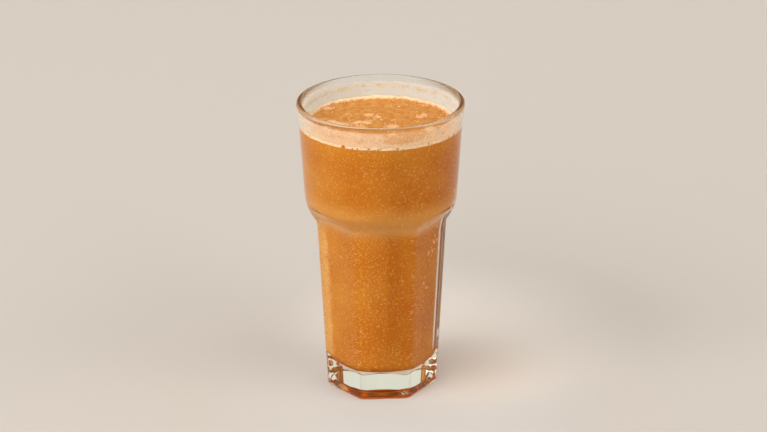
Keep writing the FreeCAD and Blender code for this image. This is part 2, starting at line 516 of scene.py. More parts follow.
@dataclass(frozen=True)
class CloudyJuice:
    """Cloudy carrot juice, with fine pulp and air in it, and with painted light: paler on the left, a
    paler belt above the shoulder and a bright underside.
    """

    shoulder: float             # height of the glass's shoulder
    deep: Colour = (184, 99, 13)
    pale: Colour = (211, 141, 46)
    drift: Grain = Grain(38.0, 4, 0.6, 0.35, 0.7)
    drift_share: float = 0.45
    least_share: float = 0.02
    # painted light: the juice is paler on the left, where the light falls
    left_share: float = 0.26
    painted_light_sides: Span = (0.004, -0.028)      # along X
    under_froth: Colour = (214, 144, 40)
    under_froth_drop: float = 0.010
    under_froth_share: float = 0.3
    fleck: Colour = (234, 182, 104)
    flecks: Grain = Grain(900.0, 4, 0.7, 0.52, 0.72)
    fleck_share: float = 0.6
    # painted light: a paler belt just above the shoulder, the shading of the lower bowl
    painted_belt_colour: Colour = (240, 176, 96)
    painted_belt_share: float = 0.5
    painted_belt_rise: Span = (-0.008, -0.001)  # from the shoulder, up to the painted paler belt
    painted_belt_fall: Span = (0.013, 0.002)    # and from above it, down to the belt
    clinging: Colour = (219, 161, 87)
    clinging_drop: float = 0.012
    mottle: Grain = Grain(700, 4, 0.7, 0.25, 0.6)
    ragged: Grain = Grain(500, 3, 0.7)
    raggedness: float = 0.6
    ragged_rise: float = 0.01   # how far the froth's ragged edge runs up and down
    froth_cover: Span = (0.15, 0.95)
    # painted light: the underside, in shade below the foot, lit up bright orange
    painted_light_beneath: Colour = (255, 134, 10)
    wet_heights: Span = (0.007, 0.004)      # above the glass's floor, where it mirrors nothing
    ior_in_glass: float = 0.86
    slants: Span = (0.06, 0.35)
    open_deep: Colour = (200, 120, 30)
    open_pale: Colour = (214, 150, 70)
    open_drift: Grain = Grain(300, 4, 0.65, 0.38, 0.66)
    foam: Colour = (232, 184, 134)
    foam_edge: Grain = Grain(1400, 3, 0.7, 0.62, 1.25)
    foam_weight: float = 0.8
    ripple: Grain = Grain(1300, 3)
    ripple_depth: float = 0.0002
    ripple_strength: float = 0.5
    open_roughness: float = 0.42
    open_ior: float = 1.34

    def body(self) -> bpy.types.Material:
        """Builds the juice as it shows through the wall, where it mirrors what comes in at a slant.

        Returns:
            The material.
        """
        shader = Shader("juice_body")
        ragged = shader.times(shader.plus(shader.noise(self.ragged), -0.5), self.raggedness)
        froth = shader.ramp(shader.plus(shader.stored("froth"), ragged), *self.froth_cover)
        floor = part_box("juice")[0].z
        wet = shader.ramp(shader.along("Z"), *(floor + height for height in self.wet_heights))
        slant = shader.add("ShaderNodeFresnel", IOR=self.ior_in_glass).outputs["Fac"]
        slant = shader.ramp(slant, *self.slants)
        bare = shader.plus(1.0, shader.times(shader.plus(froth, wet), -1.0))
        mirror = shader.times(slant, shader.ramp(bare, 0.0, 1.0))
        inside = shader.lit("Diffuse", Color=self.through_wall(shader, froth, ragged))
        return shader.finish(shader.blend(mirror, inside, shader.lit("Glossy", Roughness=0.0)))

    def through_wall(self, shader: Shader, froth: bpy.types.NodeSocket, ragged: bpy.types.NodeSocket
                     ) -> bpy.types.NodeSocket:
        """Works out the juice's colour as it shows through the wall.

        Args:
            shader: the material's shader.
            froth: how much froth clings to the wall.
            ragged: a fine noise that makes the froth's edge ragged.

        Returns:
            The colour.
        """
        rise = shader.along("Z")
        # painted light: paler toward the left
        left = shader.times(shader.ramp(shader.along("X"), *self.painted_light_sides), self.left_share)
        drift = shader.times(shader.pattern(self.drift), self.drift_share)
        drift = shader.plus(drift, shader.plus(left, self.least_share))
        colour = shader.mix(drift, self.deep, self.pale)
        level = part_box("froth")[0].z
        high = shader.ramp(rise, level - self.under_froth_drop, level)
        colour = shader.mix(shader.times(high, self.under_froth_share), colour, self.under_froth)
        flecks = shader.times(shader.pattern(self.flecks), self.fleck_share)
        colour = shader.mix(flecks, colour, self.fleck)
        # painted light: the paler belt above the shoulder
        painted_belt = shader.times(shader.ramp(rise, *(self.shoulder + z for z in self.painted_belt_rise)),
                            shader.ramp(rise, *(self.shoulder + z for z in self.painted_belt_fall)))
        colour = shader.mix(shader.times(painted_belt, self.painted_belt_share), colour, self.painted_belt_colour)
        stem = shader.plus(rise, shader.times(ragged, self.ragged_rise))
        stem = shader.ramp(stem, self.shoulder, self.shoulder - self.clinging_drop)
        clinging = shader.mix(shader.pattern(self.mottle), self.pale, self.clinging)
        colour = shader.mix(shader.times(froth, stem), colour, clinging)
        # painted light on the underside
        return shader.mix(shader.stored("painted_underside"), colour, self.painted_light_beneath)

    def top(self) -> bpy.types.Material:
        """Builds the wet, frothy surface of the juice.

        Returns:
            The material.
        """
        shader = Shader("juice_top")
        colour = shader.mix(shader.pattern(self.open_drift), self.open_deep, self.open_pale)
        foam = shader.times(shader.stored("foam"), self.foam_weight)
        foam = shader.plus(foam, shader.noise(self.foam_edge))
        foam = shader.ramp(foam, self.foam_edge.low, self.foam_edge.high)
        colour = shader.mix(foam, colour, self.foam)
        ripple = shader.bump(shader.noise(self.ripple), self.ripple_depth, self.ripple_strength)
        return shader.finish(shader.lit("Principled", Base_Color=colour, Normal=ripple,
                                        Roughness=self.open_roughness, IOR=self.open_ior))


@dataclass(frozen=True)
class FineFroth:
    """Fine pale froth, orange where it thins out and in its pits."""

    pale: Colour = (250, 229, 195)
    warm: Colour = (245, 208, 161)
    thin: Colour = (226, 150, 72)
    pit: Colour = (196, 104, 30)
    cells: Grain = Grain(1100, 4, 0.7, 0.4, 0.64)
    cell_depth: float = 0.0002
    cell_strength: float = 0.5
    roughness: float = 0.5
    ior: float = 1.3

    def material(self) -> bpy.types.Material:
        """Builds the material.

        Returns:
            The material.
        """
        shader = Shader("fine_froth")
        cells = shader.pattern(self.cells)
        colour = shader.mix(cells, self.warm, self.pale)
        colour = shader.mix(shader.stored("thin"), colour, self.thin)
        colour = shader.mix(shader.stored("pit"), colour, self.pit)
        bump = shader.bump(cells, self.cell_depth, self.cell_strength)
        return shader.finish(shader.lit("Principled", Base_Color=colour, Normal=bump,
                                        Roughness=self.roughness, IOR=self.ior))


@dataclass(frozen=True)
class MilkyFilm:
    """The thin film of froth that has dried onto the wall."""

    front: Colour = (255, 220, 186)
    back: Colour = (240, 233, 223)
    front_to_back: Span = (-0.026, -0.002)  # along Y
    least: float = 0.16         # of the film's cover, where there is none
    most: float = 0.58          # more of it, where the film is thickest
    let_through: float = 0.5    # share of the light that the film lets through
    wisps: Grain = Grain(420, 4, 0.7, 0.55, 1.45)

    def material(self) -> bpy.types.Material:
        """Builds the material.

        Returns:
            The material.
        """
        shader = Shader("milky_film")
        cover = shader.plus(shader.stored("share"), shader.noise(self.wisps))
        cover = shader.ramp(cover, self.wisps.low, self.wisps.high)
        cover = shader.plus(shader.times(cover, self.most), self.least)
        depth = shader.ramp(shader.along("Y"), *self.front_to_back)
        colour = shader.mix(depth, self.front, self.back)
        solid = shader.blend(self.let_through, shader.lit("Diffuse", Color=colour),
                             shader.lit("Translucent", Color=colour))
        return shader.finish(shader.blend(cover, shader.lit("Transparent"), solid))


@dataclass(frozen=True)
class Speck:
    """A matt or wet body too small to show more than its colour, which drifts between two."""

    name: str
    first: Colour
    second: Colour
    roughness: float = 0.5
    ior: float = 1.3
    drift: Grain = Grain(700, 3, 0.7, 0.4, 0.6)

    def material(self) -> bpy.types.Material:
        """Builds the material.

        Returns:
            The material.
        """
        shader = Shader(self.name)
        colour = shader.mix(shader.pattern(self.drift), self.first, self.second)
        return shader.finish(shader.lit("Principled", Base_Color=colour,
                                        Roughness=self.roughness, IOR=self.ior))


@dataclass(frozen=True)
class BubbleSkin:
    """The skin of an air bubble, the drink's orange in the middle and a pale painted reflection round
    its edge.
    """

    # painted reflection: the pale edge that a bubble shows at a slant
    rim: Colour = (255, 246, 230)
    middle: Colour = (224, 140, 52)
    painted_reflection_slants: Span = (0.3, 0.75)
    roughness: float = 0.15
    ior: float = 1.33

    def material(self) -> bpy.types.Material:
        """Builds the material.

        Returns:
            The material.
        """
        shader = Shader("bubble_skin")
        slant = shader.add("ShaderNodeLayerWeight", Blend=0.5).outputs["Facing"]
        # painted reflection round the edge, by how far the skin faces away
        colour = shader.mix(shader.ramp(slant, *self.painted_reflection_slants), self.middle, self.rim)
        return shader.finish(shader.lit("Principled", Base_Color=colour,
                                        Roughness=self.roughness, IOR=self.ior))


# ---------------------------------------------------------------- the tumbler


@dataclass
class Tumbler:
    """The glass: a round bowl above a stem of flat facets, with a thick base."""

    # the lip and the bowl
    lip_radius: float = 0.0387
    lip_wall: float = 0.0029
    lip_round: float = 0.0014
    lip_flare: float = 0.0013
    neck_drop: float = 0.012
    neck_round: float = 0.060
    bowl_wall: float = 0.0027
    # the shoulder between the bowl and the stem
    shoulder_height: float = 0.0891
    shoulder_step: float = 0.0066
    shoulder_round: float = 0.019
    shoulder_angle: float = math.radians(38)
    shoulder_lift: float = 0.0057
    shoulder_soft: float = 0.012
    # the facets of the stem, the edges between them and the arches above them
    sides: int = 7
    facet_foot: float = 0.02415
    facet_lean: float = 0.0468
    runout_drop: float = 0.0007
    runout_angle: float = math.radians(58)
    runout_round: float = 0.0155
    arris_trim: float = 0.00045
    arris_soft: float = 0.0008
    arch_soft: float = 0.0007
    arris_round: float = 0.002
    facet_wall: float = 0.003
    floor_round: float = 0.005
    # the foot and the hollow beneath it
    foot_bevel_in: float = 0.0009
    foot_bevel_up: float = 0.0015
    foot_round: float = 0.002
    foot_edge: float = 0.0004
    foot_ring: float = 0.0042
    punt_depth: float = 0.0022
    punt_slope: float = 0.0025
    punt_round: float = 0.002
    # the mesh: how far its columns crowd near a facet's edge, and for each zone of the outside
    # its top and the most that two of its rings lie apart
    half_columns: int = 24
    crowding: float = 1.5
    ring_zones: tuple[Span, ...] = ((0.003, 0.0004), (0.078, 0.005), (0.097, 0.0003), (math.inf, 0.003))
    foot_shares: tuple[float, ...] = (0.35, 0.7)
    inside_step: float = 0.004
    height: float = field(init=False)
    floor: float = field(init=False)
    half_side: float = field(init=False)

    def __post_init__(self) -> None:
        """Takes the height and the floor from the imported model, and works out half a facet's turn."""
        self.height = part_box("glass")[1].z
        self.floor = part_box("juice")[0].z
        self.half_side = math.pi / self.sides

    def facet_distance(self, height: float) -> float:
        """Distance from the axis to the middle of a facet."""
        return self.facet_foot + self.facet_lean * height

    def arris_radius(self, height: float) -> float:
        """Radius of the trimmed edge between two facets."""
        return self.facet_distance(height) / math.cos(self.half_side) - self.arris_trim

    def under_shoulder(self, radius: float, height: float, stem_radius: float, stem_lean: float
                       ) -> tuple[float, float]:
        """Where the slope down from a shoulder corner meets the side of the stem.

        Args:
            radius: radius of the shoulder corner.
            height: height of the shoulder corner.
            stem_radius: radius of the stem's side, at that height.
            stem_lean: how far that side moves out for each metre up.

        Returns:
            Radius and height of the meeting point.
        """
        drop = (radius - stem_radius) / (math.tan(self.shoulder_angle) - stem_lean)
        return stem_radius - stem_lean * drop, height - drop

    def shoulder_radius(self) -> float:
        """Radius of the corner that the shoulder's curve replaces."""
        return self.facet_distance(self.shoulder_height) + self.shoulder_step

    def body_outline(self) -> np.ndarray:
        """Outlines the outside of the round body, from the foot up to the lip.

        Returns:
            Radius and height of each sample, one row each.
        """
        corner = (self.shoulder_radius(), self.shoulder_height)
        arris_lean = self.facet_lean / math.cos(self.half_side)
        stem = self.under_shoulder(*corner, self.arris_radius(self.shoulder_height), arris_lean)
        foot = self.arris_radius(0) - self.foot_bevel_in
        return rounded_outline([
            (foot - self.foot_ring, 0, 0),
            (foot, 0, self.foot_edge),
            (self.arris_radius(self.foot_bevel_up), self.foot_bevel_up, self.foot_round),
            (*stem, self.arris_round),
            (*corner, self.shoulder_round),
            (self.lip_radius - self.lip_flare, self.height - self.neck_drop, self.neck_round),
            (self.lip_radius, self.height, self.lip_round),
            (self.lip_radius - self.lip_wall / 2, self.height, 0),
        ])

    def facet_outline(self) -> np.ndarray:
        """Outlines the middle of a facet with its bevel and its run-out, from the foot up.

        Returns:
            Distance from the axis and height of each sample, one row each.
        """
        corner_height = self.shoulder_height - self.runout_drop
        distance = self.facet_distance(corner_height)
        rise = self.height - corner_height
        foot = self.facet_distance(0) - self.foot_bevel_in
        return rounded_outline([
            (foot - self.foot_ring, 0, 0),
            (foot, 0, self.foot_edge),
            (self.facet_distance(self.foot_bevel_up), self.foot_bevel_up, self.foot_round),
            (distance, corner_height, self.runout_round),
            (distance + rise * math.tan(self.runout_angle), self.height, 0),
        ])

    def inner_outline(self) -> np.ndarray:
        """Outlines the inside of the wall, from the lip down to the middle of the floor.

        Returns:
            Radius and height of each sample, one row each.
        """
        height = self.shoulder_height + self.shoulder_lift
        corner = (self.shoulder_radius() - self.bowl_wall, height)
        stem_radius = self.facet_distance(height) - self.facet_wall
        stem = self.under_shoulder(*corner, stem_radius, self.facet_lean)
        neck = self.lip_radius - self.lip_flare - self.bowl_wall
        return rounded_outline([
            (self.lip_radius - self.lip_wall / 2, self.height, 0),
            (self.lip_radius - self.lip_wall, self.height, self.lip_round),
            (neck, self.height - self.neck_drop, self.neck_round),
            (*corner, self.shoulder_soft),
            (*stem, self.shoulder_soft),
            (self.facet_distance(self.floor) - self.facet_wall, self.floor, self.floor_round),
            (0, self.floor, 0),
        ])

    def punt_outline(self) -> np.ndarray:
        """Outlines the hollow under the base, from its roof out to the foot.

        Returns:
            Radius and height of each sample, one row each.
        """
        edge = self.facet_distance(0) - self.foot_bevel_in - self.foot_ring
        return rounded_outline([
            (0, self.punt_depth, 0),
            (edge - self.punt_slope, self.punt_depth, self.punt_round),
            (edge, 0, self.foot_edge),
            (edge + self.foot_edge * 2, 0, 0),
        ])

    def columns(self) -> np.ndarray:
        """Chooses the angles of the mesh's columns, closer together near the edges between facets.

        Returns:
            The angles, in radians.
        """
        steps = np.arange(self.half_columns) / self.half_columns
        half = self.half_side * (1 - (1 - steps) ** self.crowding)
        sector = np.concatenate([half, 2 * self.half_side - half[::-1][:-1], [self.half_side]])
        sector = np.sort(np.unique(np.round(sector, 9)))
        sector = sector[sector < 2 * self.half_side - TINY]
        turns = np.arange(self.sides) * 2 * self.half_side - math.pi / 2
        return (turns[:, None] + sector[None, :]).ravel()

    def outer_radius(self, height: float, body: np.ndarray, facet: np.ndarray,
                     angles: np.ndarray) -> np.ndarray:
        """Radius of the outside at one height.

        Args:
            height: the height.
            body: the round body's outline.
            facet: the facets' outline.
            angles: the columns' angles.

        Returns:
            The radius at each column.
        """
        away = np.mod(angles + math.pi / 2 + self.half_side, 2 * self.half_side) - self.half_side
        away = np.abs(away)
        distance = np.interp(height, facet[1:, 1], facet[1:, 0])
        near = distance / np.cos(away)
        beside = distance / np.cos(2 * self.half_side - away)
        facets = soft_min(near, beside, self.arris_soft)
        return soft_min(facets, np.interp(height, body[1:, 1], body[1:, 0]), self.arch_soft)

    def wall_heights(self, body: np.ndarray, facet: np.ndarray) -> list[float]:
        """Chooses the heights of the outside's rings, closer together where it bends.

        Args:
            body: the round body's outline.
            facet: the facets' outline.

        Returns:
            The heights, between the foot's edge and the rounding of the lip.
        """
        lip = self.height - self.lip_round
        heights = np.unique(np.round(np.concatenate([body[1:-1, 1], facet[1:-1, 1]]), 6))
        low = 0.0
        for high, step in self.ring_zones:
            heights = finer(heights, low, min(high, lip), step)
            low = high
        return [height for height in heights if self.foot_edge < height < lip]

    def build(self) -> bpy.types.Object:
        """Makes the glass as one closed mesh.

        Returns:
            The glass.
        """
        angles = self.columns()
        body = self.body_outline()
        facet = self.facet_outline()
        rings = [ring(radius, height, angles) for radius, height in self.punt_outline()[1:]]
        inner = rings[-1]
        outer = ring(self.outer_radius(0.0, body, facet, angles), 0.0, angles)
        rings += [inner + (outer - inner) * share for share in self.foot_shares]
        edge = [self.foot_edge * (1 - math.cos(math.radians(turn))) for turn in range(0, 91, 15)]
        for height in edge + self.wall_heights(body, facet):
            rings.append(ring(self.outer_radius(height, body, facet, angles), height, angles))
        lip = [(radius, height) for radius, height in body if height >= self.height - self.lip_round]
        for radius, height in lip + self.dense_inside(self.inner_outline()):
            rings.append(ring(radius, height, angles))
        return closed_shell("tumbler", rings)

    def inner_radius(self, height: np.ndarray | float) -> np.ndarray | float:
        """Radius of the inside of the wall at a height."""
        outline = self.inner_outline()[::-1]
        return np.interp(height, outline[1:, 1], outline[1:, 0])

    def dense_inside(self, outline: np.ndarray) -> list[Span]:
        """Adds samples to the inside's outline where they lie far apart.

        Args:
            outline: radius and height of each sample, one row each.

        Returns:
            Radius and height of each sample after the first, short of the last.
        """
        places = []
        for start, end in zip(outline[:-1], outline[1:]):
            count = max(1, math.ceil(np.linalg.norm(end - start) / self.inside_step))
            for step in range(1, count + 1):
                places.append(tuple(start + (end - start) * step / count))
        return places[:-1]


# ---------------------------------------------------------------- what is strewn


@dataclass
class Scatter:
    """Small round bodies strewn over a ground, more of them where its share attribute is higher."""

    name: str
    smallest: float
    largest: float
    per_area: float
    flatness: float = 0.5
    fineness: float = 3.0
    seed: int = 1
    segments: int = 4
    rings: int = 2

    def sizes(self) -> dict[str, float]:
        """The tree's named inputs and their values."""
        return {"Per area": self.per_area, "Smallest": self.smallest, "Largest": self.largest,
                "Flatness": self.flatness, "Fineness": self.fineness}

    def tree(self, material: bpy.types.Material) -> bpy.types.GeometryNodeTree:
        """Builds the Geometry Nodes tree.

        Args:
            material: the material of the bodies.

        Returns:
            The tree, with its sizes as named inputs.
        """
        tree = bpy.data.node_groups.new(self.name, "GeometryNodeTree")
        tree.interface.new_socket("Geometry", in_out="INPUT", socket_type="NodeSocketGeometry")
        for label in self.sizes():
            tree.interface.new_socket(label, in_out="INPUT", socket_type="NodeSocketFloat")
        tree.interface.new_socket("Geometry", in_out="OUTPUT", socket_type="NodeSocketGeometry")
        nodes = Nodes(tree)
        plain = {"data_type": "FLOAT"}
        start = nodes.add("NodeGroupInput").outputs
        share = nodes.add("GeometryNodeInputNamedAttribute", plain, Name="share")
        density = nodes.times(share.outputs["Attribute"], start["Per area"])
        points = nodes.add("GeometryNodeDistributePointsOnFaces", Mesh=start["Geometry"],
                           Density=density, Seed=self.seed).outputs
        chance = nodes.add("FunctionNodeRandomValue", plain, Seed=self.seed + 1)
        power = nodes.number("POWER", chance.outputs[1], start["Fineness"])
        size = nodes.add("ShaderNodeMapRange", Value=power, To_Min=start["Smallest"],
                         To_Max=start["Largest"]).outputs["Result"]
        thickness = nodes.times(size, start["Flatness"])
        scale = nodes.add("ShaderNodeCombineXYZ", X=size, Y=size, Z=thickness)
        ball = nodes.add("GeometryNodeMeshUVSphere", Radius=1.0, Segments=self.segments,
                         Rings=self.rings)
        smooth = nodes.add("GeometryNodeSetShadeSmooth", Geometry=ball.outputs["Mesh"])
        bodies = nodes.add("GeometryNodeInstanceOnPoints", Points=points["Points"],
                           Rotation=points["Rotation"], Instance=smooth.outputs["Geometry"],
                           Scale=scale.outputs["Vector"])
        real = nodes.add("GeometryNodeRealizeInstances", Geometry=bodies.outputs["Instances"])
        finish = nodes.add("GeometryNodeSetMaterial", Geometry=real.outputs["Geometry"],
                           Material=material)
        nodes.add("NodeGroupOutput", Geometry=finish.outputs["Geometry"])
        return tree

    def strew(self, ground: bpy.types.Object, material: bpy.types.Material) -> bpy.types.Object:
        """Strews the bodies and takes the ground away.

        Args:
            ground: a mesh object whose vertices store their share.
            material: the material of the bodies.

        Returns:
            The bodies as one plain mesh object.
        """
        tree = self.tree(material)
        modifier = ground.modifiers.new(self.name, "NODES")
        modifier.node_group = tree
        values = self.sizes()
        for item in tree.interface.items_tree:
            if item.item_type == "SOCKET" and item.in_out == "INPUT" and item.name in values:
                modifier[item.identifier] = float(values[item.name])
        depsgraph = bpy.context.evaluated_depsgraph_get()
        mesh = bpy.data.meshes.new_from_object(ground.evaluated_get(depsgraph), depsgraph=depsgraph)
        mesh.name = self.name
        ground.modifiers.remove(modifier)
        bpy.data.objects.remove(ground)
        bodies = bpy.data.objects.new(self.name, mesh)
        bpy.context.scene.collection.objects.link(bodies)
        return bodies


@dataclass
class WallBand:
    """A band of the inside of the wall, as a ground for what clings to it."""

    tumbler: Tumbler
    low: float
    high: float
    into_wall: float = 0.0
    rows: int = 24
    columns: int = 360
    rings: list[np.ndarray] = field(init=False)
    places: np.ndarray = field(init=False)

    def __post_init__(self) -> None:
        """Works out the band's places."""
        heights = np.linspace(self.low, self.high, self.rows)
        radii = self.tumbler.inner_radius(heights) + self.into_wall
        angles = round_angles(self.columns)
        self.rings = [ring(radius, height, angles) for radius, height in zip(radii, heights)]
        self.places = np.concatenate(self.rings)

    def facing(self, bearing: float = 0.0) -> np.ndarray:
        """How far each place looks toward a bearing: 1 there, and -1 opposite it."""
        return np.cos(np.radians(bearings(self.places) - bearing))

    def strewn(self, share: np.ndarray, scatter: Scatter, finish: Speck | BubbleSkin
               ) -> bpy.types.Object:
        """Strews bodies of that finish over the band, as thickly as share says at each place."""
        return scatter.strew(self.ground(scatter.name + "_ground", share), finish.material())

    def ground(self, name: str, share: np.ndarray) -> bpy.types.Object:
        """Makes the ground.

        Args:
            name: name of the object.
            share: how thickly bodies are strewn at each place, from 0 to 1.

        Returns:
            The ground, whose vertices store their share.
        """
        obj = new_object(name, self.places, ring_faces(self.rows, self.columns))
        give(obj, "share", np.clip(share, 0, 1))
        return obj


@dataclass
class SideFroth:
    """Where froth clings to the left side of the stem. Bearings are in degrees from the front."""

    tumbler: Tumbler
    back: Span = (-124, -110)
    front: Span = (-64, -84)
    waves: Cloud = Cloud(120, 3, 13.0)
    waviness: float = 6
    foot: float = 0.004         # how high above the floor it reaches its full share
    shoulder: Span = (0.004, -0.002)        # from the top of the stem
    floor_gap: float = 0.0015
    into_wall: float = 0.00008
    rows: int = 60
    patches: Cloud = Cloud(400, 3, 6.0)
    patch_least: float = 0.5
    patch_share: float = 0.6

    def share(self, places: np.ndarray) -> np.ndarray:
        """Works out how much of it there is.

        Args:
            places: places on the wall, one row each.

        Returns:
            Its share at each place, from 0 to 1.
        """
        turn = bearings(places) + self.waviness * self.waves.at(places)
        height = places[:, 2]
        floor = self.tumbler.floor
        top = self.tumbler.shoulder_height + self.tumbler.shoulder_lift
        tall = smooth_step(height, floor, floor + self.foot)
        tall *= smooth_step(height, *(top + reach for reach in self.shoulder))
        return smooth_step(turn, *self.back) * smooth_step(turn, *self.front) * tall

    def build(self) -> bpy.types.Object:
        """Strews the froth's fine bubbles, in patches.

        Returns:
            The bubbles.
        """
        low = self.tumbler.floor + self.floor_gap
        band = WallBand(self.tumbler, low, self.tumbler.shoulder_height, self.into_wall, self.rows)
        patches = self.patch_least + self.patch_share * self.patches.at(band.places)
        scatter = Scatter("side_froth", smallest=0.00014, largest=0.00036, per_area=6.0e6,
                          flatness=0.5, fineness=2.0, seed=51)
        finish = Speck("side_froth", (244, 202, 148), (234, 180, 116))
        return band.strewn(self.share(band.places) * patches, scatter, finish)


# ---------------------------------------------------------------- the drink


@dataclass(frozen=True)
class FoamSpot:
    """A spot of the drink's surface where more foam floats."""

    strength: float
    middle: tuple[float, float]
    reach: tuple[float, float]

    def share(self, places: np.ndarray) -> np.ndarray:
        """How much foam it adds at each place."""
        x, y = (bump_shape(places[:, i], self.middle[i], self.reach[i]) for i in range(2))
        return self.strength * (x * y)


@dataclass
class Juice:
    """The drink, which reaches just into the wall of the glass."""

    tumbler: Tumbler
    into_wall: float = 0.0001
    columns: int = 400
    bottom_shares: tuple[float, ...] = (0.3, 0.65)
    top_rings: int = 96
    swells: Cloud = Cloud(260, 4, 9.0)
    swell: float = 0.0002
    lumps: Cloud = Cloud(900, 2, 2.0)
    lump_share: float = 0.4     # of the foam's rise
    foam_rise: float = 0.00035
    still_edge: float = 0.003   # how far from the wall the surface is free to swell
    least_upward: float = 0.3
    surface_depth: float = 0.001
    painted_underside: Span = (0.0012, 0.0002)          # above the floor, down to the underside's painted light
    foam_spots: tuple[FoamSpot, ...] = (
        FoamSpot(strength=0.88, middle=(-0.013, -0.003), reach=(0.012, 0.009)),
        FoamSpot(strength=0.34, middle=(0.016, -0.002), reach=(0.012, 0.010)),
        FoamSpot(strength=0.3, middle=(-0.003, 0.012), reach=(0.006, 0.004)),
    )
    streaks: Cloud = Cloud(140, 6, 4.0)
    streak_shape: Place = (0.8, 1.2, 1.0)
    foam_amounts: Span = (0.25, 0.95)
    ground_columns: int = 240
    ground_rings: int = 60
    ground_hole: float = 0.02   # share of its radius, in the middle
    ground_rise: float = 0.0002
    ground_gap: float = 0.0022
    rim_bubbles: float = 0.75
    least_bubbles: float = 0.03

    def foam_share(self, places: np.ndarray) -> np.ndarray:
        """Works out where foam floats on the drink, in streaks and in a few spots.

        Args:
            places: places on the drink's surface, one row each.

        Returns:
            Its share at each place, from 0 to 1.
        """
        share = self.streaks.at(places * np.array(self.streak_shape))
        for spot in self.foam_spots:
            share = share + spot.share(places)
        return smooth_step(share, *self.foam_amounts)

    def side_rings(self, level: float) -> list[np.ndarray]:
        """Makes the rings of the drink's underside and side.

        Args:
            level: height of the drink's surface.

        Returns:
            The rings, from the middle of the underside out and up to the surface.
        """
        floor = self.tumbler.floor
        angles = round_angles(self.columns)
        outline = self.tumbler.inner_outline()[::-1]
        foot_radius = outline[1, 0] + self.into_wall
        bottom = floor - self.into_wall
        rings = [ring(foot_radius * share, bottom, angles) for share in self.bottom_shares]
        for radius, height in self.tumbler.dense_inside(outline):
            if height < level:
                height = height if height > floor + TINY else bottom
                rings.append(ring(radius + self.into_wall, height, angles))
        rings.append(ring(self.tumbler.inner_radius(level) + self.into_wall, level, angles))
        return rings

    def lift(self, places: np.ndarray, foam: np.ndarray) -> np.ndarray:
        """Works out how far the surface swells above its level.

        Args:
            places: places on the surface.
            foam: how much foam floats at each.

        Returns:
            How far each place rises.
        """
        lumps = 1 - self.lump_share + self.lump_share * self.lumps.at(places)
        return self.swell * self.swells.at(places) + self.foam_rise * foam * lumps

    def build(self) -> bpy.types.Object:
        """Makes the juice as one closed mesh, with a second material slot for its surface.

        Returns:
            The juice.
        """
        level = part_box("juice")[1].z
        floor = self.tumbler.floor
        sides = self.side_rings(level)
        edge = self.tumbler.inner_radius(level) + self.into_wall
        shares = np.linspace(1, 0, self.top_rings)[1:-1]
        tops = [ring(edge * share, level, round_angles(self.columns)) for share in shares]
        juice = closed_shell("juice_body", sides + tops)
        places = np.concatenate([*sides, *tops, [[0, 0, floor - self.into_wall], [0, 0, level]]])
        on_top = np.arange(len(places)) >= len(sides) * self.columns
        on_top[-2] = False      # the middle of the underside
        foam = np.zeros(len(places))
        foam[on_top] = self.foam_share(places[on_top])
        lift = np.zeros(len(places))
        lift[on_top] = self.lift(places[on_top], foam[on_top])
        away = np.linalg.norm(places[:, :2], axis=1)
        places[:, 2] += lift * smooth_step(edge - away, 0.0, self.still_edge)
        juice.data.vertices.foreach_set("co", places.ravel())
        juice.data.update()
        give(juice, "foam", foam)
        give(juice, "froth", SideFroth(self.tumbler).share(places))
        # where the underside's painted light shows
        give(juice, "painted_underside", smooth_step(places[:, 2], *(floor + height for height in self.painted_underside)))
        for face in juice.data.polygons:
            upward = face.normal.z > self.least_upward
            face.material_index = int(upward and face.center.z > level - self.surface_depth)
        return juice

    def foam_bubbles(self) -> bpy.types.Object:
        """Strews the small bubbles that float on the drink.

        Returns:
            The bubbles.
        """
        scatter = Scatter("foam_bubbles", smallest=0.00012, largest=0.0005, per_area=3.0e6,
                          flatness=0.7, fineness=3.5, seed=3, segments=6, rings=4)
        finish = Speck("foam_bubble", (240, 202, 152), (228, 170, 108), roughness=0.3)
        return scatter.strew(self.foam_ground(), finish.material())

    def foam_ground(self) -> bpy.types.Object:
        """Makes a flat ground at the level of the drink, for the bubbles that float on it.

        Returns:
            The ground, whose vertices store their share.
        """
        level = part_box("juice")[1].z
        edge = self.tumbler.inner_radius(level) - self.ground_gap
        height = level + self.ground_rise
        shares = np.linspace(1, self.ground_hole, self.ground_rings)
        angles = round_angles(self.ground_columns)
        places = np.concatenate([ring(edge * share, height, angles) for share in shares])
        away = np.linalg.norm(places[:, :2], axis=1)
        rim = smooth_step(away, edge - self.ground_gap, edge)
        ground = new_object("foam_ground", places, ring_faces(self.ground_rings, self.ground_columns))
        share = self.foam_share(places) + self.least_bubbles + self.rim_bubbles * rim
        give(ground, "share", np.clip(share, 0, 1))
        return ground


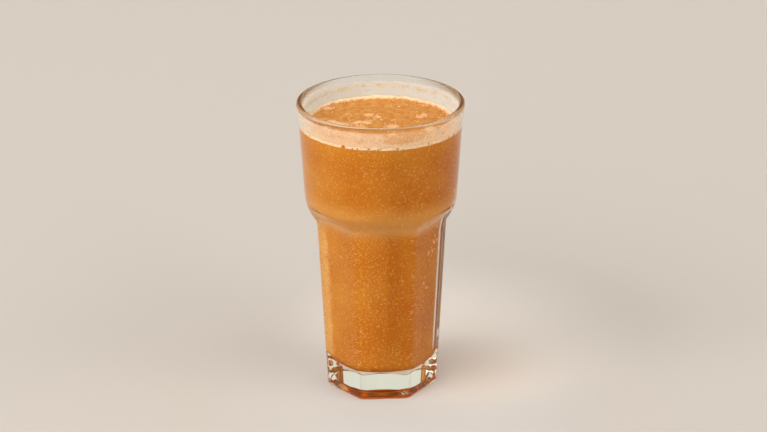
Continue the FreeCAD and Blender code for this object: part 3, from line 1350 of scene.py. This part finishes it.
@dataclass
class FrothRing:
    """The ring of froth that clings to the wall."""

    tumbler: Tumbler
    width: float = 0.0030
    into_wall: float = 0.0002
    columns: int = 760
    outer_rows: int = 12
    top_rows: int = 22
    wall_radius: float = 0.036
    base_gap: float = 0.0002
    bottom_gap: float = 0.0003
    bottom_waves: Cloud = Cloud(300, 4, 6.0)
    bottom_wave: float = 0.0003
    top_gap: float = 0.0007
    top_waves: Cloud = Cloud(260, 4, 3.0)
    top_wave: float = 0.0004
    # the inner edge's waves: how many there are round it, their height and where they start
    waves: tuple[tuple[int, float, float], ...] = (
        (3, 0.00055, 0.4), (5, 0.00035, 2.1), (11, 0.00025, 1.3),
    )
    ragged_waves: Cloud = Cloud(420, 5, 1.0)
    ragged: float = 0.0007
    relief_waves: Cloud = Cloud(800, 3, 8.0)
    relief: float = 0.00018
    free_shares: Span = (0.0, 0.2)          # from the wall inward, to the full relief
    crown: float = 0.00015      # how far the top bulges up
    crown_edge: float = 0.3     # share of the top, by its inner edge, over which the bulge ends
    inner_rise: float = 0.00025
    top_sag: float = 0.6        # power by which the top falls off inward
    pits: int = 90
    pit_seed: int = 5
    pit_depth: float = 0.0005
    large_pit: Place = (math.radians(-121), 0.34, 0.00105)      # angle, height share and radius
    pit_heights: Span = (0.05, 0.8)
    pit_radii: Span = (0.00022, 0.00062)
    pit_slope: float = 0.45
    thin_edge: Cloud = Cloud(500, 3, 5.0)
    thin_raggedness: float = 0.3
    thin_shares: Span = (0.62, 1.1)
    foot_thinness: float = 0.35
    foot_share: float = 0.12    # of the outside, above its foot
    base_thinness: float = 0.6
    level: float = field(init=False)
    base: float = field(init=False)
    angles: np.ndarray = field(init=False)
    bottom: np.ndarray = field(init=False)
    top: np.ndarray = field(init=False)
    inner: np.ndarray = field(init=False)

    def __post_init__(self) -> None:
        """Works out the ring's angles, and where its edges run at each of them."""
        low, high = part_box("froth")
        self.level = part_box("juice")[1].z
        self.angles = round_angles(self.columns)
        edge = ring(self.wall_radius, self.level, self.angles)
        self.base = low.z + self.base_gap
        self.bottom = low.z + self.bottom_gap + self.bottom_wave * self.bottom_waves.at(edge)
        self.top = high.z - self.top_gap + self.top_wave * self.top_waves.at(edge)
        self.inner = self.tumbler.inner_radius(self.level) - self.width
        for number, wave, phase in self.waves:
            self.inner = self.inner + wave * np.sin(number * self.angles + phase)
        self.inner += self.ragged * self.ragged_waves.at(edge)

    def pit_places(self) -> list[Place]:
        """Strews the pits.

        Returns:
            Angle, height share and radius of each pit. The first is the large one at the left.
        """
        chance = np.random.default_rng(self.pit_seed)
        least, most = self.pit_radii
        places = [self.large_pit]
        for _ in range(self.pits):
            places.append((chance.uniform(-math.pi, math.pi), chance.uniform(*self.pit_heights),
                           least + (most - least) * chance.random() ** 3))
        return places

    def pit(self, share: float, pits: list[Place]) -> np.ndarray:
        """Works out how deep the pits are along a row of the ring's outside.

        Args:
            share: the row's height, as a share of the outside's.
            pits: angle, height share and radius of each pit.

        Returns:
            The depth at each column, from 0 to 1.
        """
        depth = np.zeros_like(self.angles)
        for angle, place, radius in pits:
            turn = (self.angles - angle + math.pi) % (2 * math.pi) - math.pi
            rise = (share - place) * (self.top - self.bottom)
            away = np.hypot(turn * self.wall_radius, rise)
            depth = np.maximum(depth, smooth_step(1 - away / radius, 0, self.pit_slope))
        return depth

    def top_row(self, share: float) -> np.ndarray:
        """Makes a row of the ring's top.

        Args:
            share: how far the row lies from the wall to the inner edge, from 0 to 1.

        Returns:
            The row's places.
        """
        wall = self.tumbler.inner_radius(self.top)
        radius = wall + (self.inner - wall) * share
        height = self.top + (self.level + self.inner_rise - self.top) * share ** self.top_sag
        row = ring(radius, height, self.angles)
        relief = self.relief * smooth_step(share, *self.free_shares)
        row[:, 2] += relief * self.relief_waves.at(row)
        row[:, 2] += self.crown * smooth_step(1 - share, 0, self.crown_edge)
        return row

    def build(self) -> bpy.types.Object:
        """Makes the ring as one closed mesh.

        Returns:
            The ring, whose vertices store how thin the froth is and how deep in a pit they lie.
        """
        none = np.zeros_like(self.angles)
        rings = [ring(self.inner, self.base, self.angles),
                 ring(self.inner * 0.5 + self.wall_radius / 2, self.base, self.angles)]
        thin = [none + 1, none + self.base_thinness]
        pit = [none, none]
        pits = self.pit_places()
        for share in np.linspace(0, 1, self.outer_rows):
            height = self.bottom + (self.top - self.bottom) * share
            depth = self.pit(share, pits)
            radius = self.tumbler.inner_radius(height) + self.into_wall
            rings.append(ring(radius - depth * self.pit_depth, height, self.angles))
            foot = smooth_step(share, self.foot_share, 0)
            thin.append(none + self.foot_thinness * foot)
            pit.append(depth)
        for share in np.linspace(0, 1, self.top_rows + 1)[1:]:
            row = self.top_row(share)
            rings.append(row)
            thinning = share + self.thin_raggedness * self.thin_edge.at(row)
            thin.append(smooth_step(thinning, *self.thin_shares))
            pit.append(none)
        vertices = np.concatenate(rings)
        froth = new_object("froth_ring", vertices, ring_faces(len(rings), self.columns, loop=True))
        give(froth, "thin", np.concatenate(thin))
        give(froth, "pit", np.concatenate(pit))
        return froth


# ---------------------------------------------------------------- what clings to the wall


@dataclass
class WallFilm:
    """The milky film that the drink has left on the wall above the froth, with dried specks."""

    tumbler: Tumbler
    thickness: float = 0.00006
    into_wall: float = 0.00002
    froth_lap: float = 0.0006
    lip_gap: float = 0.0024
    rows: int = 30
    columns: int = 480
    clouds: Cloud = Cloud(160, 4, 7.0)
    least: float = 0.42
    front_share: float = 0.23
    cloud_share: float = 0.32
    back_share: float = 0.90
    back_cloud_share: float = 0.15
    front: Span = (-0.2, 0.5)               # how far a place looks to the front
    back: Span = (0.0, 0.5)                 # and to the back
    window_left: Span = (-4, 4)             # bearings
    window_right: float = 30                # bearing of its other edge, at half its height
    window_slant: float = 22                # how far that edge turns from its foot to its top
    window_edge: Span = (-2, 4)
    window_clearness: float = 0.8
    foot_edge: Cloud = Cloud(500, 3, 4.0)
    foot_raggedness: float = 0.12
    foot_heights: Span = (0.66, 0.92)       # shares of the film's height, from its top
    foot_share: float = 0.7
    lip_fade: float = 0.12
    specks_lap: float = 0.0004
    specks_lip_gap: float = 0.0030
    specks_clouds: Cloud = Cloud(700, 2, 2.0)
    specks_cloud_share: float = 0.4
    specks_loss: float = 0.15
    specks_front: Span = (-0.5, 0.2)

    def share(self, band: WallBand) -> np.ndarray:
        """Works out how milky the wall is, with a clear window right of the front.

        Args:
            band: a band of the wall. Bearings are in degrees from the front.

        Returns:
            The film's share at each of its places, from 0 to 1.
        """
        bearing = bearings(band.places)
        height = (band.places[:, 2] - band.low) / (band.high - band.low)
        clouds = self.clouds.at(band.places)
        right = self.window_right + self.window_slant * (height - 0.5) - bearing
        window = smooth_step(bearing, *self.window_left) * smooth_step(right, *self.window_edge)
        front = smooth_step(band.facing(), *self.front)
        share = self.least + self.front_share * front + self.cloud_share * clouds
        share *= 1 - self.window_clearness * window
        back = smooth_step(-band.facing(), *self.back)
        share = share * (1 - back) + (self.back_share + self.back_cloud_share * clouds) * back
        foot = 1 - height + self.foot_raggedness * self.foot_edge.at(band.places)
        share += self.foot_share * smooth_step(foot, *self.foot_heights)
        return np.clip(share, 0, 1) * smooth_step(1 - height, 0.0, self.lip_fade)

    def film(self) -> bpy.types.Object:
        """Makes the film as a thin closed shell.

        Returns:
            The film, whose vertices store how milky it is.
        """
        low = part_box("froth")[1].z - self.froth_lap
        high = self.tumbler.height - self.lip_gap
        outside, inside = (
            WallBand(self.tumbler, low, high, depth, self.rows, self.columns)
            for depth in (self.into_wall, self.into_wall - self.thickness)
        )
        rings = outside.rings + inside.rings[::-1]
        faces = ring_faces(len(rings), self.columns, loop=True)
        film = new_object("wall_film", np.concatenate(rings), faces)
        share = self.share(outside)
        flipped = share.reshape(self.rows, self.columns)[::-1].ravel()
        give(film, "share", np.concatenate([share, flipped]))
        return film

    def specks(self) -> bpy.types.Object:
        """Strews the specks of dried froth in the film.

        Returns:
            The specks.
        """
        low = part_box("froth")[1].z - self.specks_lap
        band = WallBand(self.tumbler, low, self.tumbler.height - self.specks_lip_gap)
        clouds = self.specks_cloud_share * self.specks_clouds.at(band.places)
        share = self.share(band) + clouds - self.specks_loss
        share *= smooth_step(band.facing(), *self.specks_front)
        scatter = Scatter("film_specks", smallest=0.00010, largest=0.00032, per_area=6.0e6,
                          flatness=0.3, fineness=2.0, seed=11)
        return band.strewn(share, scatter, Speck("film_speck", (255, 232, 196), (252, 212, 164)))


@dataclass
class Splash:
    """The ragged tan line that the drink has left above the froth, round the back."""

    tumbler: Tumbler
    reach: float = 0.0068
    into_wall: float = -0.00004
    rows: int = 36
    columns: int = 720
    rise: float = 0.0036
    waves: Cloud = Cloud(90, 4, 3.0)
    wave_height: float = 0.0011
    tilt: float = 0.0008
    tilt_bearing: float = 150
    half_width: float = 0.0008
    edge: Span = (-0.0005, 0.0005)
    breaks: Cloud = Cloud(130, 3, 12.0)
    break_share: float = 0.6
    grains: Cloud = Cloud(900, 3, 1.0)
    grain_share: float = 0.25
    least: float = 0.55
    strengths: Span = (0.25, 0.75)
    back_bearing: float = 12
    back: Span = (-0.15, 0.25)

    def build(self) -> bpy.types.Object:
        """Strews the marks.

        Returns:
            The marks.
        """
        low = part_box("froth")[1].z
        band = WallBand(self.tumbler, low, low + self.reach, self.into_wall, self.rows, self.columns)
        flat = band.places * np.array([1, 1, 0])
        line = low + self.rise + self.wave_height * self.waves.at(flat)
        line += self.tilt * band.facing(self.tilt_bearing)
        away = np.abs(band.places[:, 2] - line)
        strength = self.least + self.break_share * self.breaks.at(flat)
        strength += self.grain_share * self.grains.at(band.places)
        share = smooth_step(self.half_width - away, *self.edge)
        share *= smooth_step(strength, *self.strengths)
        share *= smooth_step(-band.facing(self.back_bearing), *self.back)
        scatter = Scatter("splash_marks", smallest=0.00012, largest=0.00040, per_area=8.0e6,
                          flatness=0.3, fineness=2.0, seed=21)
        return band.strewn(share, scatter, Speck("dried_splash", (206, 180, 136), (224, 202, 164)))


@dataclass
class Pulp:
    """Pale pulp and fine air that lie against the wall, round the front."""

    tumbler: Tumbler
    floor_gap: float = 0.002
    into_wall: float = 0.00007
    rows: int = 90
    clouds: Cloud = Cloud(55, 3, 5.0)
    least: float = 0.20
    cloud_share: float = 0.30
    left_share: float = 0.9
    left_bearing: float = -28
    left_reach: float = 20
    left_heights: Span = (0.098, 0.078)
    sides: Span = (72, 58)

    def build(self) -> bpy.types.Object:
        """Strews the specks.

        Returns:
            The specks.
        """
        low = self.tumbler.floor + self.floor_gap
        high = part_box("froth")[0].z
        band = WallBand(self.tumbler, low, high, self.into_wall, self.rows)
        bearing = bearings(band.places)
        left = bump_shape(bearing, self.left_bearing, self.left_reach)
        left *= smooth_step(band.places[:, 2], *self.left_heights)
        share = self.least + self.cloud_share * self.clouds.at(band.places) + self.left_share * left
        share *= smooth_step(np.abs(bearing), *self.sides)
        scatter = Scatter("pulp_specks", smallest=0.00010, largest=0.00030, per_area=2.6e6,
                          flatness=0.55, fineness=2.6, seed=31)
        return band.strewn(share, scatter, Speck("pale_pulp", (238, 190, 106), (228, 164, 76)))


@dataclass(frozen=True)
class BubbleSpot:
    """A spot of the wall where larger bubbles gather."""

    strength: float
    bearing: float
    height: float
    turn_reach: float
    rise_reach: float

    def share(self, places: np.ndarray) -> np.ndarray:
        """How many bubbles it adds at each place."""
        beside = bump_shape(bearings(places), self.bearing, self.turn_reach)
        return self.strength * (beside * bump_shape(places[:, 2], self.height, self.rise_reach))


@dataclass
class Bubbles:
    """A few larger air bubbles against the wall, most of them at the right."""

    tumbler: Tumbler
    floor_gap: float = 0.004
    froth_gap: float = 0.002
    rows: int = 60
    least: float = 0.0005
    spots: tuple[BubbleSpot, ...] = (
        BubbleSpot(strength=1.0, bearing=62, height=0.074, turn_reach=7, rise_reach=0.006),
        BubbleSpot(strength=0.5, bearing=45, height=0.055, turn_reach=10, rise_reach=0.006),
        BubbleSpot(strength=1.0, bearing=80, height=0.096, turn_reach=8, rise_reach=0.005),
    )

    def build(self) -> bpy.types.Object:
        """Strews the bubbles.

        Returns:
            The bubbles.
        """
        low = self.tumbler.floor + self.floor_gap
        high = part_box("froth")[0].z - self.froth_gap
        band = WallBand(self.tumbler, low, high, rows=self.rows)
        share = self.least + sum(spot.share(band.places) for spot in self.spots)
        scatter = Scatter("air_bubbles", smallest=0.0004, largest=0.0011, per_area=180000.0,
                          flatness=0.6, fineness=2.5, seed=44, segments=10, rings=6)
        return band.strewn(share, scatter, BubbleSkin())


# ---------------------------------------------------------------- stage, lamps and camera


@dataclass(frozen=True)
class PaintedLight:
    """A round patch of painted light on the floor, in another colour, which fades out from its core to
    its reach.
    """

    middle: Place
    reach: float
    core: float
    colour: Colour


@dataclass(frozen=True)
class Sun:
    """A broad, far lamp. One that is hidden lights things but doesn't show in or through the glass."""

    name: str
    source: Place               # the direction it shines from
    width: float                # how wide it looks, in degrees
    strength: float             # in watts to a square metre
    hidden: bool = False

    def hang(self) -> None:
        """Puts the lamp into the scene."""
        data = bpy.data.lights.new(self.name, "SUN")
        data.energy = self.strength
        data.angle = math.radians(self.width)
        lamp = bpy.data.objects.new(self.name, data)
        lamp.rotation_euler = Vector(self.source).to_track_quat("Z", "Y").to_euler()
        lamp.visible_glossy = not self.hidden
        lamp.visible_transmission = not self.hidden
        bpy.context.scene.collection.objects.link(lamp)


@dataclass(frozen=True)
class SoftLamp:
    """A rectangular lamp that faces the middle of the glass, which mirrors it."""

    name: str
    place: Place
    width: float
    height: float
    power: float                # in watts
    aim: Place = (0, 0, 0.07)

    def hang(self) -> None:
        """Puts the lamp into the scene."""
        data = bpy.data.lights.new(self.name, "AREA")
        data.shape = "RECTANGLE"
        data.size = self.width
        data.size_y = self.height
        data.energy = self.power
        lamp = bpy.data.objects.new(self.name, data)
        aim = Vector(self.aim) - Vector(self.place)
        turn = aim.to_track_quat("-Z", "Y").to_matrix().to_4x4()
        lamp.matrix_world = Matrix.Translation(self.place) @ turn
        bpy.context.scene.collection.objects.link(lamp)


@dataclass
class Stage:
    """The floor, the world, the lamps and the camera."""

    floor_tone: Colour = (200, 191, 182)
    floor_size: float = 12.0
    gap: float = 0.0002
    patches: tuple[PaintedLight, ...] = (
        # painted light: a little paler before the glass, a pool of light that it throws
        PaintedLight(middle=(0.010, -0.030, 0), reach=0.105, core=0.035, colour=(203, 197, 190)),
        # painted light: paler behind it, at the right, lifting the fill lamp's shadow
        PaintedLight(middle=(0.040, 0.050, 0), reach=0.105, core=0.0, colour=(231, 222, 212)),
        # painted light: warmer and paler close to it, at the right, the drink's orange bounce in its
        # shadow
        PaintedLight(middle=(0.046, 0.004, 0), reach=0.050, core=0.0, colour=(215, 201, 188)),
        # painted glow: the drink's orange on the floor below the foot, seen through it
        PaintedLight(middle=(0, 0, 0), reach=0.0235, core=0.0215, colour=(255, 180, 84)),
    )
    backdrop: Colour = (215, 205, 193)
    through: Colour = (221, 220, 204)
    light: Colour = (255, 252, 247)
    light_side: Place = (-0.8, -0.45, 0.3)
    light_strengths: Span = (0.45, 0.66)
    mirror_strengths: Span = (0.15, 1.0)
    lamps: tuple[Sun | SoftLamp, ...] = (
        Sun("key", (-0.55, -0.22, 0.80), 35, 0.15),
        Sun("fill", (-0.85, -0.80, 0.42), 70, 3.1, hidden=True),
        Sun("right", (0.9, -0.60, 0.38), 60, 1.7, hidden=True),
        SoftLamp("soft_lamp", (-0.70, -0.45, 0.85), 0.42, 0.42, 1.3),
        SoftLamp("strip_lamp", (-0.30, -0.95, 0.62), 1.1, 0.14, 0.4),
    )
    facet_turn: float = math.radians(3.4)   # how far round from a facet's middle the camera stands
    camera_distance: float = 1.034
    camera_height: float = 0.503
    pitch: float = math.radians(22.1)
    yaw: float = math.radians(-0.0645)
    roll: float = math.radians(0.2)
    lens: float = 112.65
    sensor: float = 36
    farthest: float = 50
    bounces: int = 32
    clear_bounces: int = 24

    def floor(self) -> None:
        """Makes the floor, which is plain but for patches of painted light round the glass."""
        half = self.floor_size / 2
        corners = np.array([[x, y, -self.gap] for x, y in
                            ((-half, -half), (half, -half), (half, half), (-half, half))])
        plane = new_object("stage_floor", corners, [(0, 1, 2, 3)])
        shader = Shader("stage_floor")
        colour = self.floor_tone
        for patch in self.patches:
            away = shader.measure("DISTANCE", shader.place(), patch.middle)
            colour = shader.mix(shader.ramp(away, patch.reach, patch.core), colour, patch.colour)
        plane.data.materials.append(shader.finish(shader.lit("Diffuse", Color=colour)))

    def world(self) -> None:
        """Makes the surroundings: a pale light from one side, and plain walls for all else.

        The glass mirrors a wall that is darker away from the light, and shows a paler one through
        itself than the camera sees.
        """
        world = bpy.data.worlds.new("studio")
        bpy.context.scene.world = world
        world.use_nodes = True
        nodes = Nodes(world.node_tree)
        direction = nodes.add("ShaderNodeTexCoord").outputs["Generated"]
        toward = nodes.measure("DOT_PRODUCT", direction, Vector(self.light_side).normalized())

        def strength(least: float, most: float) -> bpy.types.NodeSocket:
            """Rises from least, opposite the light's side, to most, beside it."""
            return nodes.add("ShaderNodeMapRange", Value=toward, From_Min=-1, To_Min=least,
                             To_Max=most).outputs["Result"]

        def wall(colour: Colour, strength: object = 1.0) -> bpy.types.NodeSocket:
            """A plain wall of that colour, and its strength."""
            return nodes.add("ShaderNodeBackground", Color=linear(colour), Strength=strength).outputs[0]

        rays = nodes.add("ShaderNodeLightPath").outputs
        result = wall(self.light, strength(*self.light_strengths))
        mirrored = wall(self.backdrop, strength(*self.mirror_strengths))
        result = nodes.blend(rays["Is Glossy Ray"], result, mirrored)
        result = nodes.blend(rays["Is Transmission Ray"], result, wall(self.through))
        result = nodes.blend(rays["Is Camera Ray"], result, wall(self.backdrop))
        nodes.add("ShaderNodeOutputWorld", Surface=result)

    def camera(self) -> None:
        """Sets up the camera, in front of the facet that faces -Y and a little to its left."""
        data = bpy.data.cameras.new("camera")
        data.lens = self.lens
        data.sensor_width = self.sensor
        data.clip_end = self.farthest
        camera = bpy.data.objects.new("camera", data)
        swing = Matrix.Rotation(-self.facet_turn, 4, "Z")
        stand = Matrix.Translation((0, -self.camera_distance, self.camera_height))
        aim = Matrix.Rotation(self.yaw, 4, "Z") @ Matrix.Rotation(math.pi / 2 - self.pitch, 4, "X")
        aim = aim @ Matrix.Rotation(-self.roll, 4, "Z")
        camera.matrix_world = swing @ stand @ aim
        bpy.context.scene.collection.objects.link(camera)
        bpy.context.scene.camera = camera

    def build(self) -> None:
        """Sets up everything round the object."""
        self.floor()
        self.world()
        for lamp in self.lamps:
            lamp.hang()
        self.camera()
        bpy.context.scene.view_settings.view_transform = "Standard"
        cycles = bpy.context.scene.cycles
        cycles.max_bounces = self.bounces
        cycles.glossy_bounces = self.clear_bounces
        cycles.transmission_bounces = self.clear_bounces
        cycles.transparent_max_bounces = self.clear_bounces


def dress(piece: bpy.types.Object, slot: Slot, *materials: bpy.types.Material) -> None:
    """Gives a finished piece its materials and its body, and reports it.

    Args:
        piece: the piece.
        slot: not used.
        materials: its materials, where it has none yet.
    """
    for material in materials:
        piece.data.materials.append(material)
    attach(piece, ROOT)
    log.info("%s: %d faces", piece.name, len(piece.data.polygons))


def main() -> None:
    """Builds every piece and the stage, and reports each piece."""
    logging.basicConfig(level=logging.INFO)
    tumbler = Tumbler()
    glass = tumbler.build()
    dress(glass, Slot.GLASS, ClearGlass().material())
    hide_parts("glass")
    liquid = CloudyJuice(tumbler.shoulder_height)
    drink = Juice(tumbler)
    juice = drink.build()
    dress(juice, Slot.JUICE, liquid.body(), liquid.top())
    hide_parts("juice")
    froth = FrothRing(tumbler).build()
    dress(froth, Slot.FROTH, FineFroth().material())
    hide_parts("froth")
    dress(drink.foam_bubbles(), Slot.FROTH)
    film = WallFilm(tumbler)
    dress(film.film(), Slot.FROTH, MilkyFilm().material())
    dress(film.specks(), Slot.FROTH)
    dress(Splash(tumbler).build(), Slot.FROTH)
    dress(Pulp(tumbler).build(), Slot.JUICE)
    dress(SideFroth(tumbler).build(), Slot.JUICE)
    dress(Bubbles(tumbler).build(), Slot.JUICE)
    Stage().build()


if __name__ == "__main__":
    main()
